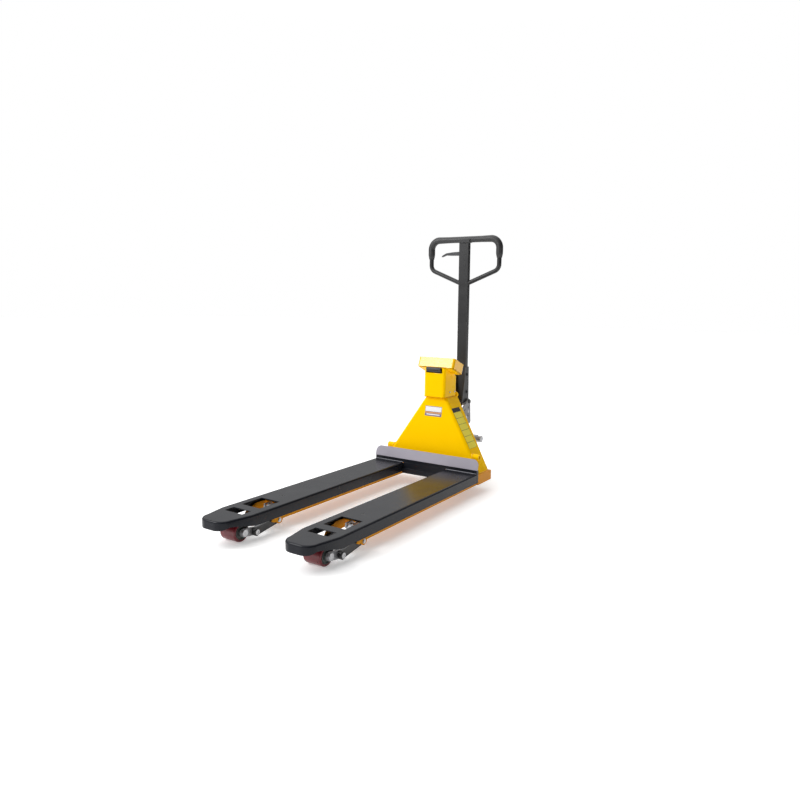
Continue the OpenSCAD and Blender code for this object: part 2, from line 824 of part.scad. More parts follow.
module handle_grip() color(black) on_handle() difference() {
    union() {
        bar([-loop_half + bend, loop_top], [loop_half - bend, loop_top], grip_r);
        for (s = sides) {
            top_bend(s, grip_r);
            bar([s * loop_half, loop_top - bend], [s * loop_half, grip_low], grip_r);
        }
    }
    bar([-loop_half + bend - 1, loop_top], [loop_half - bend + 1, loop_top], loop_r);
    for (s = sides) {
        top_bend(s, loop_r);
        bar([s * loop_half, loop_top - bend + 1], [s * loop_half, grip_low - 10], loop_r);
    }
    box(-38, 350, loop_top - 30, 38, 400, loop_top);
}

module release_rod() color(steel) on_handle() {
    translate([lever_x, 376.5, 420]) cylinder(r = 3, h = 690);
}

module lever_pin() color(black) on_handle() {
    translate([lever_x, 389, lever_z]) rotate([90, 0, 0]) cylinder(r = 4, h = 25);
    for (y = [364, 389.8]) translate([lever_x, y, lever_z]) rotate([90, 0, 0]) cylinder(r = 4.5, h = 0.8);
}

module release_lever() color(black) on_handle() {
    difference() {
        union() {
            translate([lever_x, 371.5, lever_z]) rotate([-90, 0, 0]) cylinder(r = 10, h = 9);
            translate([0, 380.5, lever_z]) rotate([90, 0, 0]) linear_extrude(9) polygon([
                [lever_x, -9], [lever_x, 10], [-30, 11], [-70, 9], [-103, 5], [-124, -5], [-131, -13],
                [-126, -14], [-103, -6], [-70, -8], [-30, -9]
            ]);
        }
        // serrations under the lever
        for (i = [0:5]) translate([-36 - i * 11, 376, lever_z - 11]) rotate([90, 0, 0])
            cylinder(r = 4, h = 20, center = true);
        translate([lever_x, 376, lever_z]) rotate([90, 0, 0]) cylinder(r = 4.06, h = 40, center = true);
    }
}

tower_shell();
tower_base();
rail_left();
rail_right();
ram_seat();
rocker_shaft();
arm_pivot_pins();
ram();
fork_left();
fork_right();
heel_crossbeam();
backrest_plate();
load_cells();
load_cell_screws();
neck_post();
neck_screws();
battery_pack();
indicator_case();
indicator_base();
display_window();
lcd_panel();
circuit_board();
keypad_panel();
battery_latch();
key_1();
key_2();
key_3();
key_4();
bearing_seat();
thrust_bearing();
rocker();
push_rods();
roller_arms();
roller_carriers();
roller_axles();
load_tread_left();
load_core_left();
load_tread_right();
load_core_right();
pump_housing();
filler_plug();
release_valve();
wheel_axle();
pivot_pin();
pump_piston();
piston_spring();
steer_tyre_left();
steer_hub_left();
steer_tyre_right();
steer_hub_right();
drawbar_seat();
press_roller();
handle_bracket();
bracket_bolts();
handle_shaft();
handle_loop();
handle_grip();
release_rod();
lever_pin();
release_lever();
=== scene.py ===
"""Looks of the pallet scale: rounded shells, procedural materials, studio and camera."""
import json
import math
import random

import bmesh
import bpy
from mathutils import Matrix, Vector


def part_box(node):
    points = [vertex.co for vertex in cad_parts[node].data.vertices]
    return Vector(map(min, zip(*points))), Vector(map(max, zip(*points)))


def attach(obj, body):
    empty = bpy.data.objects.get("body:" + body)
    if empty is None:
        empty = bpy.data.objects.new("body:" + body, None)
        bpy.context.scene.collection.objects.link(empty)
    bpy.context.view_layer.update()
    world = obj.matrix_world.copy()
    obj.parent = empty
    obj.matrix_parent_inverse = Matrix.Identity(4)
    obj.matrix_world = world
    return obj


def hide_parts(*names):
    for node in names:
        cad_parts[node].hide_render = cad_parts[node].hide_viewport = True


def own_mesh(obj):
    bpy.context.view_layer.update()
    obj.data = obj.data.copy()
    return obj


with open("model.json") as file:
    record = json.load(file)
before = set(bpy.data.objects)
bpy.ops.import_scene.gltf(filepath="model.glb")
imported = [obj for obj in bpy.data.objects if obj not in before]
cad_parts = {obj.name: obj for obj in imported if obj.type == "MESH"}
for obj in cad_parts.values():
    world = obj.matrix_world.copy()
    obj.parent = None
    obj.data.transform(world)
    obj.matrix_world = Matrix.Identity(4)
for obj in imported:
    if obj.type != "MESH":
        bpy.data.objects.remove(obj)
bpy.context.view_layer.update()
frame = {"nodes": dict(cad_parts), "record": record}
NODES = frame["nodes"]
MM = 0.001
HEEL_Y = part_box("fork_right")[1][1]
FORK_EDGE = 8  # rounding of the fork tops' outer edges, millimetres
TOWER_FOOT, TOWER_RISE = 96, 334  # height of the tower's lower edge, and from there to its top
LOOP_HALF, LOOP_Y, LOOP_CORNER = 190.5, 376, 46  # the handle loop's half width, plane and corner radius
SEAT_Y, SEAT_Z, HANDLE_LEAN = 342, 300, 1.3  # where the handle tilts from, and its lean at rest in degrees


# ---------- camera ----------
def make_camera():
    """A camera at the photograph's viewing angle, with a slight roll."""
    azimuth, elevation, roll = (math.radians(a) for a in (32.354, 8.066, 1.099))
    forward = Vector((
        -math.sin(azimuth) * math.cos(elevation),
        math.cos(azimuth) * math.cos(elevation),
        -math.sin(elevation),
    ))
    right = forward.cross(Vector((0, 0, 1))).normalized()
    up = right.cross(forward)
    right, up = (
        right * math.cos(roll) + up * math.sin(roll),
        up * math.cos(roll) - right * math.sin(roll),
    )
    data = bpy.data.cameras.new("camera")
    data.sensor_width = 36
    data.lens = 29.48
    camera = bpy.data.objects.new("camera", data)
    place = Vector((1.5443, HEEL_Y - 2.6641, 0.859))
    turn = Matrix((right, up, -forward)).transposed()
    camera.matrix_world = Matrix.Translation(place) @ turn.to_4x4()
    bpy.context.scene.collection.objects.link(camera)
    bpy.context.scene.camera = camera


# ---------- materials ----------
class Graph:
    """A material's node tree, with short calls for the nodes that repeat."""

    def __init__(self, name):
        self.material = bpy.data.materials.new(name)
        self.material.use_nodes = True
        self.tree = self.material.node_tree
        self.shader = self.tree.nodes["Principled BSDF"]
        self.coords = self.tree.nodes.new("ShaderNodeTexCoord").outputs["Object"]

    def node(self, kind, **inputs):
        made = self.tree.nodes.new(kind)
        for key, value in inputs.items():
            self.put(made.inputs[key.replace("_", " ")], value)
        return made

    def put(self, socket, value):
        if isinstance(value, bpy.types.NodeSocket):
            self.tree.links.new(value, socket)
        else:
            socket.default_value = value

    def noise(self, scale, detail=4.0, stretch=(1, 1, 1)):
        mapping = self.node("ShaderNodeMapping", Vector=self.coords, Scale=stretch)
        made = self.node("ShaderNodeTexNoise", Scale=scale, Detail=detail, Roughness=0.6)
        self.put(made.inputs["Vector"], mapping.outputs[0])
        return made.outputs[0]

    def ramp(self, value, low, high, start, end):
        made = self.node("ShaderNodeMapRange")
        for index, item in enumerate((value, low, high, start, end)):
            self.put(made.inputs[index], item)
        return made.outputs[0]

    def mix(self, factor, a, b):
        made = self.tree.nodes.new("ShaderNodeMix")
        made.data_type = "RGBA"
        self.put(made.inputs[0], factor)
        self.put(made.inputs[6], a)
        self.put(made.inputs[7], b)
        return made.outputs[2]

    def times(self, a, b):
        made = self.tree.nodes.new("ShaderNodeMath")
        made.operation = "MULTIPLY"
        self.put(made.inputs[0], a)
        self.put(made.inputs[1], b)
        return made.outputs[0]

    def edges(self, radius):
        """1 on convex and concave edges, 0 on flat faces."""
        bevel = self.node("ShaderNodeBevel", Radius=radius)
        bevel.samples = 4
        geometry = self.tree.nodes.new("ShaderNodeNewGeometry")
        dot = self.tree.nodes.new("ShaderNodeVectorMath")
        dot.operation = "DOT_PRODUCT"
        self.put(dot.inputs[0], bevel.outputs[0])
        self.put(dot.inputs[1], geometry.outputs["Normal"])
        return self.ramp(dot.outputs["Value"], 0.995, 0.9, 0.0, 1.0)

    def bump(self, height, strength, distance):
        made = self.node("ShaderNodeBump", Strength=strength, Distance=distance, Height=height)
        self.put(self.shader.inputs["Normal"], made.outputs[0])


def shade(colour, amount):
    return tuple(min(1.0, c * amount) for c in colour[:3]) + (1.0,)


def finish_of(name, colour, rough, metal=0.0, vary=0.08, coat=0.0, wear=0.0, wear_colour=(0.5, 0.5, 0.5),
              grain=220.0, bump=0.05, depth=0.0004, stretch=(1, 1, 1), spread=0.08, specular=0.5):
    """A paint, metal, rubber or plastic with its own grain, tone, gloss and edge wear."""
    g = Graph(name)
    cloud = g.noise(5.0, 5.0)
    tone = g.mix(cloud, shade(colour, 1 - vary), shade(colour, 1 + vary))
    fine = g.noise(grain, 3.0, stretch)
    gloss = g.ramp(g.noise(14.0, 6.0, stretch), 0.3, 0.7, max(0.02, rough - spread), rough + spread)
    if wear:
        patch = g.ramp(g.noise(60.0, 6.0), 0.5, 0.62, 0.0, wear)
        mask = g.times(g.edges(0.0022), patch)
        tone = g.mix(mask, tone, tuple(wear_colour) + (1.0,))
    g.put(g.shader.inputs["Base Color"], tone)
    g.put(g.shader.inputs["Roughness"], gloss)
    g.put(g.shader.inputs["Metallic"], metal)
    g.put(g.shader.inputs["Specular IOR Level"], specular)
    g.put(g.shader.inputs["Coat Weight"], coat)
    g.put(g.shader.inputs["Coat Roughness"], 0.12)
    g.bump(fine, bump, depth)
    return g.material


def tint(material, colour):
    """Colours the paint's own reflections."""
    material.node_tree.nodes["Principled BSDF"].inputs["Specular Tint"].default_value = colour


def make_materials():
    m = {}
    m["yellow_paint"] = finish_of("yellow_paint", (0.96, 0.56, 0.0), 0.30, vary=0.03, wear=0.2,
                                  wear_colour=(0.55, 0.33, 0.03), grain=420, bump=0.05, specular=0.1)
    tint(m["yellow_paint"], (1.0, 0.75, 0.1, 1))
    m["fork_paint"] = finish_of("fork_paint", (0.010, 0.011, 0.015), 0.24, vary=0.08, wear=0.2,
                                wear_colour=(0.12, 0.13, 0.15), grain=500, bump=0.04, spread=0.04,
                                specular=0.16)
    # plate_paint: painted reflection. The backrest plate has the forks' near-black paint; its light grey base
    # colour stands in for the overhead light it reflects.
    m["plate_paint"] = finish_of("plate_paint", (0.30, 0.28, 0.33), 0.38, vary=0.05, coat=0.0, wear=0.3,
                                 wear_colour=(0.55, 0.54, 0.58), grain=500, bump=0.05)
    m["handle_paint"] = finish_of("handle_paint", (0.012, 0.012, 0.013), 0.36, vary=0.12, coat=0.0, wear=0.3,
                                  wear_colour=(0.10, 0.10, 0.11), grain=700, bump=0.08, specular=0.4)
    m["steel"] = finish_of("steel", (0.42, 0.42, 0.43), 0.30, 1.0, vary=0.08, grain=180, bump=0.08,
                           stretch=(0.2, 1, 1), spread=0.1)
    m["chrome"] = finish_of("chrome", (0.50, 0.51, 0.54), 0.16, 1.0, vary=0.05, grain=300, bump=0.02,
                            spread=0.05)
    m["cast"] = finish_of("cast", (0.26, 0.26, 0.27), 0.50, 0.5, vary=0.16, wear=0.6,
                          wear_colour=(0.70, 0.70, 0.72), grain=260, bump=0.45, depth=0.0008)
    m["pump_paint"] = finish_of("pump_paint", (0.40, 0.41, 0.43), 0.42, 0.3, vary=0.1, wear=0.4,
                                wear_colour=(0.62, 0.62, 0.64), grain=260, bump=0.3, depth=0.0006)
    m["case_paint"] = finish_of("case_paint", (0.93, 0.50, 0.0), 0.22, vary=0.03, coat=0.35, wear=0.2,
                                wear_colour=(0.55, 0.33, 0.03), grain=420, bump=0.04, specular=0.5)
    m["rail_paint"] = finish_of("rail_paint", (0.62, 0.24, 0.0), 0.34, vary=0.05, wear=0.4,
                                wear_colour=(0.30, 0.16, 0.03), grain=420, bump=0.06, specular=0.1)
    tint(m["rail_paint"], (1.0, 0.6, 0.1, 1))
    m["plastic_dark"] = finish_of("plastic_dark", (0.030, 0.030, 0.033), 0.5, vary=0.15, grain=900, bump=0.25)
    m["plastic_grey"] = finish_of("plastic_grey", (0.33, 0.33, 0.38), 0.42, vary=0.08, grain=900, bump=0.2)
    m["grip_rubber"] = finish_of("grip_rubber", (0.018, 0.018, 0.019), 0.42, vary=0.15, grain=800, bump=0.3)
    m["roller_red"] = finish_of("roller_red", (0.14, 0.006, 0.012), 0.32, vary=0.15, grain=300, bump=0.12,
                                wear=0.4, wear_colour=(0.30, 0.06, 0.07))
    m["tyre_black"] = finish_of("tyre_black", (0.022, 0.022, 0.023), 0.62, vary=0.25, grain=300, bump=0.25)
    m["hub"] = finish_of("hub", (0.50, 0.50, 0.51), 0.46, 0.8, vary=0.1, grain=240, bump=0.3, depth=0.0006)
    m["roller_core"] = finish_of("roller_core", (0.035, 0.045, 0.040), 0.42, vary=0.2, grain=260, bump=0.2)
    m["cell"] = finish_of("cell", (0.66, 0.66, 0.68), 0.34, 1.0, vary=0.06, grain=200, bump=0.1,
                          stretch=(1, 0.1, 1))
    m["lcd"] = finish_of("lcd", (0.30, 0.38, 0.28), 0.35, vary=0.04, grain=900, bump=0.02)
    m["board"] = finish_of("board", (0.02, 0.16, 0.06), 0.4, vary=0.2, grain=500, bump=0.1)
    glass = finish_of("window", (0.80, 0.84, 0.86), 0.06, vary=0.02, grain=90, bump=0.01, spread=0.03)
    glass.node_tree.nodes["Principled BSDF"].inputs["Transmission Weight"].default_value = 0.92
    m["window"] = glass
    m["weld"] = finish_of("weld", (0.90, 0.52, 0.01), 0.42, vary=0.12, grain=160, bump=0.5, depth=0.0008)
    # painted highlight: this light grey colours the bead along the fork heels, standing for the bright line
    # on the bend between fork top and riser
    m["fork_weld"] = finish_of("fork_weld", (0.22, 0.22, 0.25), 0.34, vary=0.12, grain=160, bump=0.4,
                               depth=0.0006)
    m["label_white"] = finish_of("label_white", (0.78, 0.78, 0.80), 0.34, vary=0.04, grain=300, bump=0.02)
    m["label_violet"] = finish_of("label_violet", (0.16, 0.14, 0.24), 0.36, vary=0.06, grain=300, bump=0.02)
    m["label_orange"] = finish_of("label_orange", (0.55, 0.26, 0.10), 0.36, vary=0.1, grain=300, bump=0.02)
    m["label_yellow"] = finish_of("label_yellow", (0.85, 0.72, 0.06), 0.34, vary=0.05, grain=300, bump=0.02)
    m["label_black"] = finish_of("label_black", (0.015, 0.015, 0.02), 0.36, vary=0.1, grain=300, bump=0.02)
    return m


# ---------- shells ----------
def settle(obj, bm, smooth=35):
    """Writes bm into obj, shaded smooth apart from its sharp edges."""
    limit = math.radians(smooth)
    for face in bm.faces:
        face.smooth = True
    for edge in bm.edges:
        edge.smooth = len(edge.link_faces) == 2 and edge.calc_face_angle(0) < limit
    bm.to_mesh(obj.data)
    bm.free()
    even = obj.modifiers.new("even", "WEIGHTED_NORMAL")
    even.keep_sharp = True
    done = bpy.data.meshes.new_from_object(obj.evaluated_get(bpy.context.evaluated_depsgraph_get()))
    obj.modifiers.clear()
    obj.data = done


def new_object(name, bm, body, *materials, slot=None):
    """A new piece from bm that rides on a body, with one material or several."""
    obj = bpy.data.objects.new(name, bpy.data.meshes.new(name))
    bpy.context.scene.collection.objects.link(obj)
    for material in materials:
        obj.data.materials.append(MATERIALS[material])
    settle(obj, bm)
    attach(obj, body)
    return obj


def rounded(bm, edges, width, segments):
    bmesh.ops.bevel(bm, geom=list(edges), offset=width, offset_type="OFFSET", segments=segments,
                    profile=0.5, affect="EDGES", clamp_overlap=True)


def refine(node, material, width, special=None, segments=2, name=None):
    """A copy of a CAD node with rounded edges, which stands for it. special is (test, width, segments)."""
    bm = bmesh.new()
    bm.from_mesh(NODES[node].data)
    bmesh.ops.remove_doubles(bm, verts=bm.verts, dist=1e-6)
    bmesh.ops.dissolve_limit(bm, angle_limit=math.radians(0.6), verts=bm.verts, edges=bm.edges)
    for test, wide, steps in special or ():
        rounded(bm, [e for e in bm.edges if len(e.link_faces) == 2 and test(e)], wide, steps)
    if width:
        sharp = [e for e in bm.edges if len(e.link_faces) == 2 and e.calc_face_angle(0) > math.radians(40)]
        rounded(bm, sharp, width, segments)
    piece = new_object(name or "shell_" + node, bm, body_of(node), material)
    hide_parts(node)
    return piece


def top_outline(fork):
    """A test for the edges round a fork's top plate, leaving out its windows, screws and heel."""
    low, high = (Vector(p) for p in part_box(fork))
    middle = (low.x + high.x) / 2

    def test(edge):
        on_top = all(abs(v.co.z - high.z) < 0.05 * MM for v in edge.verts)
        at_heel = all(v.co.y > high.y - 0.05 * MM for v in edge.verts)
        spot = (edge.verts[0].co + edge.verts[1].co) / 2
        outer = abs(spot.x - middle) > 55 * MM or spot.y < low.y + 90 * MM
        return on_top and outer and not at_heel and edge.calc_face_angle(0) > 0.6

    return test


def body_of(node):
    bodies = frame["record"]["behaviour"]["bodies"]
    return next(body for body, members in bodies.items() if node in members)


def slot_of(node):
    return next(s["material_slot"] for s in frame["record"]["subparts"] if s["node"] == node)


def repaint(node, material):
    """A better material on a CAD node whose shape is kept."""
    data = NODES[node].data
    data.materials.clear()
    data.materials.append(MATERIALS[material])


# ---------- shape helpers ----------
def at(x, y, z):
    """A point given in millimetres from the forks' heel, in the row frame."""
    return Vector((x * MM, HEEL_Y + y * MM, z * MM))


def middle_of(node):
    low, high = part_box(node)
    return (Vector(low) + Vector(high)) / 2


def tube(path, radius, sides=16):
    """A closed tube along path. radius is one number, or one for each point."""
    bm = bmesh.new()
    count = len(path)
    radii = radius if isinstance(radius, list) else [radius] * count
    normal = None
    rings = []
    for i, point in enumerate(path):
        tangent = (path[min(i + 1, count - 1)] - path[max(i - 1, 0)]).normalized()
        normal = tangent.orthogonal() if normal is None else normal
        normal = (normal - tangent * normal.dot(tangent)).normalized()
        side = tangent.cross(normal)
        ring = []
        for k in range(sides):
            t = 2 * math.pi * k / sides
            ring.append(bm.verts.new(point + (normal * math.cos(t) + side * math.sin(t)) * radii[i]))
        rings.append(ring)
    for low, high in zip(rings, rings[1:]):
        for k in range(sides):
            bm.faces.new((low[k], low[(k + 1) % sides], high[(k + 1) % sides], high[k]))
    bm.faces.new(list(reversed(rings[0])))
    bm.faces.new(rings[-1])
    return bm


def soften(points, radius, steps=5):
    """An open outline with its inner corners rounded."""
    out = [Vector(points[0])]
    for before, corner, after in zip(points, points[1:], points[2:]):
        a, c, b = Vector(before), Vector(corner), Vector(after)
        reach = min(radius, (a - c).length * 0.48, (b - c).length * 0.48)
        start = c + (a - c).normalized() * reach
        end = c + (b - c).normalized() * reach
        for i in range(steps + 1):
            t = i / steps
            out.append(start * (1 - t) ** 2 + c * 2 * t * (1 - t) + end * t ** 2)
    out.append(Vector(points[-1]))
    return out


def lathe(outline, centre, steps=72):
    """Turns an outline of (along X, radius) points, in millimetres, round an axis along X."""
    bm = bmesh.new()
    rings = []
    for along, radius in outline:
        ring = []
        for k in range(steps):
            t = 2 * math.pi * k / steps
            spot = Vector((along, math.cos(t) * radius, math.sin(t) * radius))
            ring.append(bm.verts.new(centre + spot * MM))
        rings.append(ring)
    rings.append(rings[0])
    for low, high in zip(rings, rings[1:]):
        for k in range(steps):
            bm.faces.new((low[k], high[k], high[(k + 1) % steps], low[(k + 1) % steps]))
    bmesh.ops.recalc_face_normals(bm, faces=bm.faces)
    return bm


def resample(path, step):
    """Points about step apart along a polyline."""
    out = [path[0]]
    for a, b in zip(path, path[1:]):
        parts = max(1, round((b - a).length / step))
        out += [a.lerp(b, i / parts) for i in range(1, parts + 1)]
    return out


def weld(name, path, radius, body, material):
    """A rippled weld bead, half sunk in the joint it closes."""
    points = resample(path, 1.3 * MM)
    dice = random.Random(len(points))
    radii = []
    for i in range(len(points)):
        fade = min(1.0, (min(i, len(points) - 1 - i) + 1) / 4)
        radii.append(radius * MM * fade * (0.9 + 0.13 * (i % 3) / 2 + dice.uniform(-0.05, 0.05)))
    return new_object(name, tube(points, radii, 8), body, material)


def prism(bm, corners, rise, material_index=0):
    """A thin plate on a flat outline, raised along rise."""
    low = [bm.verts.new(c) for c in corners]
    high = [bm.verts.new(c + rise) for c in corners]
    faces = [bm.faces.new(list(reversed(low))), bm.faces.new(high)]
    for k in range(len(corners)):
        n = (k + 1) % len(corners)
        faces.append(bm.faces.new((low[k], low[n], high[n], high[k])))
    for face in faces:
        face.material_index = material_index


def sticker(name, origin, across, down, panels, body, materials):
    """A decal of flat panels: (left, top, right, bottom) in millimetres, layer, material number."""
    out = across.cross(down).normalized() * -1
    bm = bmesh.new()
    for left, top, right, bottom, layer, index in panels:
        corners = [(left, top), (left, bottom), (right, bottom), (right, top)]
        ring = [origin + across * (u * MM) + down * (v * MM) - out * 0.1 * MM for u, v in corners]
        prism(bm, ring, out * (0.1 + 0.12 * layer) * MM, index)
    bmesh.ops.recalc_face_normals(bm, faces=bm.faces)
    return new_object(name, bm, body, *materials)


# ---------- detail ----------
def tower_front(x, z):
    """A point on the tower's sloping front."""
    return at(x, 51 + (z - TOWER_FOOT) * 46 / TOWER_RISE, z)


def tower_side(y, z):
    """A point on the tower's sloping right side."""
    return at(266 - 210 / TOWER_RISE * (z - TOWER_FOOT), y, z)


def make_decals():
    across = Vector((1, 0, 0))
    down = (tower_front(0, 300) - tower_front(0, 350)).normalized()
    sticker("placard", tower_front(-51, 384), across, down, [
        (0, 0, 92, 49, 1, 1), (2, 2.5, 90, 26, 2, 0), (2, 27.5, 90, 35.5, 2, 2), (9, 38, 82, 43, 2, 0),
    ], "chassis", ["label_white", "label_violet", "label_orange"])
    down = (tower_side(82, 198) - tower_side(100, 380)).normalized()
    header, cell = 22, 32
    panels = [(0, 0, 78, header + 6 * cell, 1, 1), (1.5, 1.5, 76.5, header - 0.6, 2, 1)]
    for row in range(6):
        top = header + row * cell
        panels.append((1.5, top + 0.8, 76.5, top + cell - 0.8, 2, 0))
    sticker("side_strip", tower_side(100, 380), Vector((0, 1, 0)), down, panels, "chassis",
            ["label_yellow", "label_black"])


def make_welds():
    for s, side in ((-1, "left"), (1, "right")):
        foot = [at(s * 266, 60, 96.5), at(s * 266, 152, 96.5)]
        weld("weld_base_" + side, foot, 2.0, "chassis", "weld")
        ring = [at(s * (222 + 0.6 * 8 * math.cos(t)), 81 + 15.2 * math.sin(t), 166 - 15.2 * math.cos(t))
                for t in [2 * math.pi * k / 40 for k in range(41)]]
        weld("weld_stub_" + side, ring, 2.2, "chassis", "weld")
        # A bead along each fork's heel, light grey as a painted highlight of the bright bend between fork top
        # and riser.
        heel = [at(s * 118, -0.3, 107.4), at(s * 278, -0.3, 107.4)]
        weld("heel_highlight_bead_" + side, heel, 1.8, "chassis", "fork_weld")
        edge = [at(s * 220, 50.6, 96.5), at(s * 262, 50.6, 96.5)]
        weld("weld_front_" + side, edge, 2.0, "chassis", "weld")
    weld("weld_front", [at(-176, 50.6, 96.5), at(176, 50.6, 96.5)], 2.0, "chassis", "weld")


def make_neck_foot_shade():
    """A bead round the neck's foot in the darker rail paint, a painted shadow along the joint."""
    ring = []
    for x, y, start in ((43.9, 92, -90), (43.9, 190, 0), (-43.9, 190, 90), (-43.9, 92, 180)):
        for k in range(7):
            t = math.radians(start + 15 * k)
            ring.append(at(x + 14.1 * math.cos(t), y + 14.1 * math.sin(t), 431))
    # painted shade: the darker rail paint on this bead stands for the shadow at the neck's foot
    weld("neck_foot_shade_line", ring + [ring[0]], 1.5, "chassis", "rail_paint")


def make_spring():
    """The coil spring round the pump piston."""
    low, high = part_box("piston_spring")
    centre = middle_of("piston_spring")
    bottom, top = low[2] + 2.3 * MM, high[2] - 2.3 * MM
    turns = 8.5
    points = []
    for k in range(int(turns * 28) + 1):
        t = k / 28
        rise = min(1.0, max(0.0, (t - 0.7) / (turns - 1.4)))
        angle = 2 * math.pi * t
        points.append(Vector((
            centre.x + 16.7 * MM * math.cos(angle),
            centre.y + 16.7 * MM * math.sin(angle),
            bottom + (top - bottom) * rise,
        )))
    coil = new_object("coil_spring", tube(points, 2.25 * MM, 12), "pump", "steel")
    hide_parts("piston_spring")
    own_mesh(coil)


def make_wheels():
    """Rollers and steering wheels with rounded treads."""
    for s, side in ((-1, "left"), (1, "right")):
        roller = "load_roller_" + side
        centre = middle_of("load_tread_" + side)
        outline = soften([(0, 27), (-34, 27), (-38, 28), (-38, 34), (-34.5, 36.9),
                          (34.5, 36.9), (38, 34), (38, 28), (34, 27), (0.1, 27)], 2.4)
        tread = new_object("roller_tread_" + side, lathe(outline[:-1], centre), roller, "roller_red")
        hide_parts("load_tread_" + side)
        outline = soften([(0, 8.06), (-39, 8.06), (-39, 14), (-36.4, 15), (-36.4, 22.6), (-39, 23.4),
                          (-39, 26.4), (-37, 26.98), (37, 26.98), (39, 26.4), (39, 23.4), (36.4, 22.6),
                          (36.4, 15), (39, 14), (39, 8.06), (0.1, 8.06)], 0.8)
        core = new_object("roller_core_" + side, lathe(outline[:-1], centre), roller, "roller_core")
        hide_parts("load_core_" + side)

        wheel = "steer_wheel_" + side
        centre = middle_of("steer_tyre_" + side)
        outline = soften([(0, 70), (-25, 70), (-25, 82), (-23.6, 83.4), (-25, 84.6), (-19, 89.6),
                          (-10, 89.9), (10, 89.9), (19, 89.6), (25, 84.6), (23.6, 83.4), (25, 82),
                          (25, 70), (0.1, 70)], 1.6)
        tyre = new_object("wheel_tyre_" + side, lathe(outline[:-1], centre, 96), wheel, "tyre_black")
        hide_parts("steer_tyre_" + side)
        for face_side in (-1, 1):
            bm = bmesh.new()
            for k in range(6):
                t = 2 * math.pi * k / 6 + 0.3
                along = Vector((0, math.cos(t), math.sin(t)))
                wide = Vector((face_side, 0, 0)).cross(along)
                foot = centre + Vector((face_side * 11.5 * MM, 0, 0))
                outline = ((28, -4), (62, -3), (62, 3), (28, 4))
                corners = [foot + along * (r * MM) + wide * (w * MM) for r, w in outline]
                prism(bm, corners, Vector((face_side * 10 * MM, 0, 0)))
            bmesh.ops.recalc_face_normals(bm, faces=bm.faces)
            sharp = [e for e in bm.edges if e.calc_face_angle(0) > 1]
            rounded(bm, sharp, 1.2 * MM, 2)
            new_object("wheel_ribs_%s_%d" % (side, face_side + 2), bm, wheel, "hub")


def handle_at(x, y, z):
    """A point on the handle, given as if it stood upright, in millimetres from the heel."""
    lean = math.radians(HANDLE_LEAN)
    dy, dz = y - SEAT_Y, z - SEAT_Z
    along = dy * math.cos(lean) - dz * math.sin(lean)
    rise = dy * math.sin(lean) + dz * math.cos(lean)
    return at(x, SEAT_Y + along, SEAT_Z + rise)


def loop_path():
    """The grip's centre line, from its left lower end over the top to the right one, as (x, z)."""
    points = [(-LOOP_HALF, z) for z in range(1107, 1156, 3)]
    for k in range(1, 15):
        t = math.pi / 2 * k / 14
        points.append((LOOP_CORNER - LOOP_HALF - LOOP_CORNER * math.cos(t), 1155 + LOOP_CORNER * math.sin(t)))
    points += [(x, 1201) for x in range(-138, 144, 6)]
    return points + [(-x, z) for x, z in reversed(points) if x < -143]


def make_grip():
    """Moulded grip: thickest round the corners, drawn in at its lower ends, with a collar on each."""
    path = loop_path()
    radii = []
    for x, z in path:
        drawn = min(1.0, (z - 1104) / 30) if abs(x) > LOOP_HALF - 0.1 else 1.0
        middle = 1.0 - 0.09 * min(1.0, max(0.0, (150 - abs(x)) / 60))
        radii.append((12.2 + 4.8 * math.sin(drawn * math.pi / 2) ** 1.2) * middle * MM)
    points = [handle_at(x, LOOP_Y, z) for x, z in path]
    grip = new_object("moulded_grip", tube(points, radii, 32), "handle", "grip_rubber")
    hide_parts("handle_grip")
    for s, side in ((-1, "left"), (1, "right")):
        ring = [handle_at(s * LOOP_HALF + 12.4 * math.cos(t), LOOP_Y + 12.4 * math.sin(t), 1108.5)
                for t in [2 * math.pi * k / 24 for k in range(25)]]
        new_object("grip_collar_" + side, tube(ring, 1.3 * MM, 8), "handle", "grip_rubber")
    for s in (-1, 1):
        ring = [handle_at(s * 25.6, LOOP_Y + 10 * math.cos(t), 987 + 11 * math.sin(t))
                for t in [2 * math.pi * k / 30 for k in range(31)]]
        weld("weld_loop_%d" % (s + 2), ring, 1.6, "handle", "handle_paint")


def make_head():
    """The operator's side of the indicator: digits on the display."""
    tilt = math.radians(21.5)
    down = Vector((0, math.cos(tilt), -math.sin(tilt)))
    out = Vector((0, math.sin(tilt), math.cos(tilt)))
    corner = at(0, 99.6, 622)
    bm = bmesh.new()
    # seven-segment zeros, read from behind the truck: middle and size of each bar
    bars = [(0, v, 7, 1.6) for v in (-8, 8)] + [(u, v, 1.6, 6) for v in (-4, 4) for u in (-4.6, 4.6)]
    for digit in range(5):
        centre = (32 - digit * 19, 35)
        for u, v, w, h in bars:
            ring = []
            for du, dv in ((-0.5, -0.5), (-0.5, 0.5), (0.5, 0.5), (0.5, -0.5)):
                x = centre[0] + u + du * w
                y = centre[1] + v + dv * h
                ring.append(corner + Vector((x * MM, 0, 0)) + down * (y * MM) + out * (-4.55 * MM))
            prism(bm, ring, out * 0.3 * MM)
    bmesh.ops.recalc_face_normals(bm, faces=bm.faces)
    new_object("digits", bm, "chassis", "label_black")


# ---------- studio ----------
def area_light(name, place, aim, size, power):
    data = bpy.data.lights.new(name, "AREA")
    data.shape = "RECTANGLE"
    data.size, data.size_y = size
    data.energy = power
    light = bpy.data.objects.new(name, data)
    light.location = place
    light.rotation_euler = (Vector(aim) - Vector(place)).to_track_quat("-Z", "Y").to_euler()
    bpy.context.scene.collection.objects.link(light)


